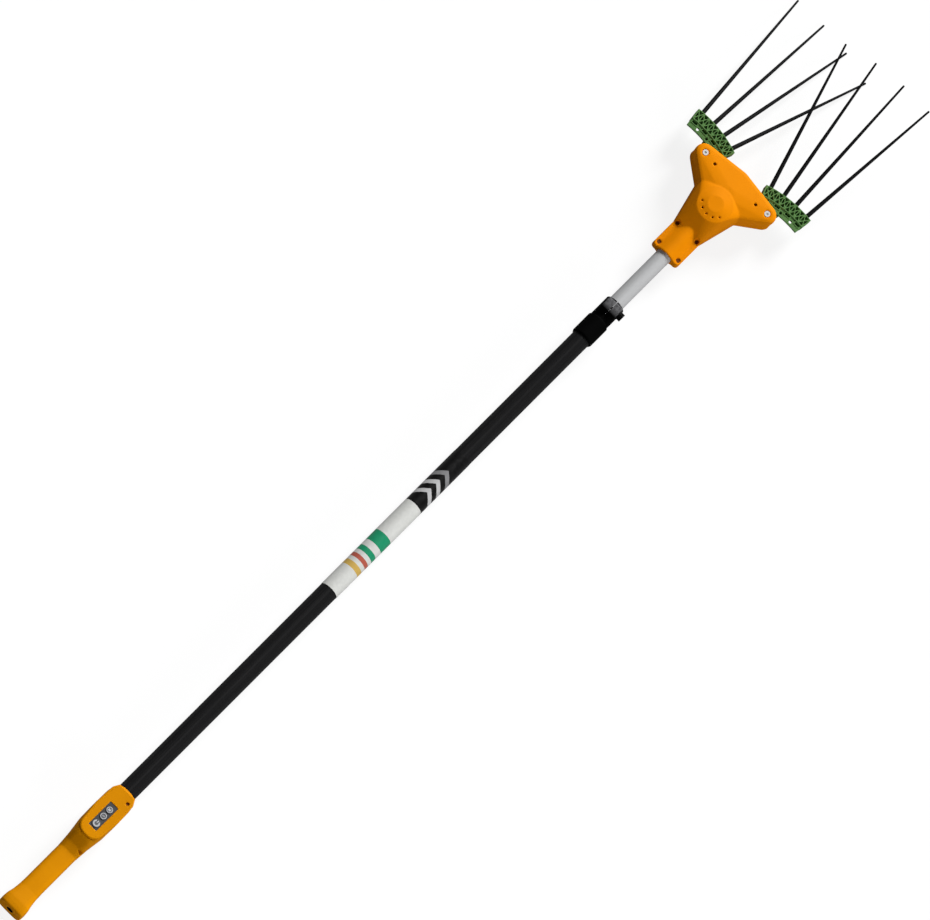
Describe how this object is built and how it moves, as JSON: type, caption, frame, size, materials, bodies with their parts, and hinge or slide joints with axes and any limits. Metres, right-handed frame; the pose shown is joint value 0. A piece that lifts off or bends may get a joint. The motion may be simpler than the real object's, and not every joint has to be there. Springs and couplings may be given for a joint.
{
  "type": "electric olive harvester",
  "caption": "Telescopic pole harvester with a moulded grip and control panel, a clamp collar, and a motor head that swings a pair of green rakes with long black tines.",
  "frame": {"origin": "mouth of the battery lead socket, on the pole's axis at the butt of the grip", "axes": "+X along the pole from the grip to the rakes, +Z out of the control panel, +Y to the left"},
  "size_m": [2.1846, 0.2956, 0.0721],
  "materials": {
    "orange_abs": "fine-grained moulded orange plastic",
    "black_nylon": "moulded black nylon",
    "keypad_rubber": "soft matte black keypad rubber",
    "button_rubber": "soft matte grey rubber",
    "black_screw": "blackened steel",
    "circuit_board": "green glass-fibre board",
    "zinc_screw": "zinc-plated steel",
    "bright_bolt": "polished stainless steel",
    "lead_sheath": "black cable sheath",
    "black_pole": "black anodised fluted tube",
    "white_film": "white printed film",
    "black_film": "black printed film",
    "bright_tube": "drawn bright aluminium",
    "pale_nylon": "natural nylon",
    "motor_steel": "plated steel",
    "bronze": "sintered bronze",
    "green_nylon": "moulded green nylon",
    "black_carbon": "black carbon-filled rod"
  },
  "bodies": {
    "grip": {"grip_left": "orange_abs", "grip_right": "orange_abs", "panel_cover": "orange_abs", "cover_screw": "black_screw", "keypad_frame": "keypad_rubber", "control_board": "circuit_board", "end_cap": "orange_abs", "battery_socket": "black_nylon", "grip_screws": "black_screw", "supply_lead": "lead_sheath", "outer_tube": "black_pole", "white_band": "white_film", "black_band": "black_film", "clamp_collar": "black_nylon", "clamp_nut": "zinc_screw", "coil_lead": "lead_sheath"},
    "power_button": {"button_power": "button_rubber"},
    "minus_button": {"button_minus": "button_rubber"},
    "plus_button": {"button_plus": "button_rubber"},
    "clamp_knob": {"clamp_screw": "black_nylon"},
    "mast": {"inner_tube": "bright_tube", "tail_bush": "pale_nylon", "upper_shell": "orange_abs", "lower_shell": "orange_abs", "neck_screws": "black_screw", "motor_can": "motor_steel", "motor_plate": "motor_steel", "plate_screws": "zinc_screw", "crank_bearing": "motor_steel", "pivot_bolts": "bright_bolt", "pivot_nuts": "zinc_screw", "motor_lead": "lead_sheath"},
    "rotor": {"motor_shaft": "motor_steel", "motor_pinion": "bronze"},
    "crank": {"crank_gear": "bronze", "crank_shaft": "motor_steel", "crank_roller": "motor_steel"},
    "yoke": {"drive_yoke": "motor_steel"},
    "rake_left": {"comb_left": "green_nylon", "pivot_bush_left": "bronze", "lever_left": "motor_steel", "drive_pin_left": "bright_bolt", "tine_left_1": "black_carbon", "tine_left_2": "black_carbon", "tine_left_3": "black_carbon", "tine_left_4": "black_carbon"},
    "rake_right": {"comb_right": "green_nylon", "pivot_bush_right": "bronze", "lever_right": "motor_steel", "drive_pin_right": "bright_bolt", "tine_right_1": "black_carbon", "tine_right_2": "black_carbon", "tine_right_3": "black_carbon", "tine_right_4": "black_carbon"}
  },
  "joints": [
    {"name": "pole_extend", "type": "slide", "parent": "grip", "child": "mast", "axis": [1, 0, 0], "range_m": [-0.1, 0.6], "deforming": ["coil_lead"]},
    {"name": "clamp_turn", "type": "hinge", "parent": "grip", "child": "clamp_knob", "pos_m": [1.526, 0, 0.02025], "axis": [0, 1, 0], "range_deg": [-270, 0]},
    {"name": "power_press", "type": "slide", "parent": "grip", "child": "power_button", "axis": [0, 0, -1], "range_m": [0, 0.0012], "stiffness_N_per_m": 400},
    {"name": "minus_press", "type": "slide", "parent": "grip", "child": "minus_button", "axis": [0, 0, -1], "range_m": [0, 0.0012], "stiffness_N_per_m": 400},
    {"name": "plus_press", "type": "slide", "parent": "grip", "child": "plus_button", "axis": [0, 0, -1], "range_m": [0, 0.0012], "stiffness_N_per_m": 400},
    {"name": "crank_spin", "type": "hinge", "parent": "mast", "child": "crank", "pos_m": [1.824, 0, 0], "axis": [0, 0, 1], "continuous": true},
    {"name": "rotor_spin", "type": "hinge", "parent": "mast", "child": "rotor", "pos_m": [1.788, 0, 0], "axis": [0, 0, 1], "continuous": true},
    {"name": "rake_left_swing", "type": "hinge", "parent": "mast", "child": "rake_left", "pos_m": [1.8448, 0.0743, 0], "axis": [0, 0, 1], "range_deg": [-2.8, 17.2]},
    {"name": "rake_right_swing", "type": "hinge", "parent": "mast", "child": "rake_right", "pos_m": [1.8448, -0.0743, 0], "axis": [0, 0, 1], "range_deg": [-17.3, 2.9]},
    {"name": "yoke_slide", "type": "slide", "parent": "mast", "child": "yoke", "axis": [1, 0, 0], "range_m": [-0.0021, 0.0126]}
  ],
  "couplings": [
    {"joint": "rotor_spin", "follows": "crank_spin", "ratio": -5},
    {"joint": "rake_right_swing", "follows": "rake_left_swing", "ratio": -1},
    {"joint": "yoke_slide", "follows": "rake_left_swing", "m_per_rad": 0.04177}
  ]
}
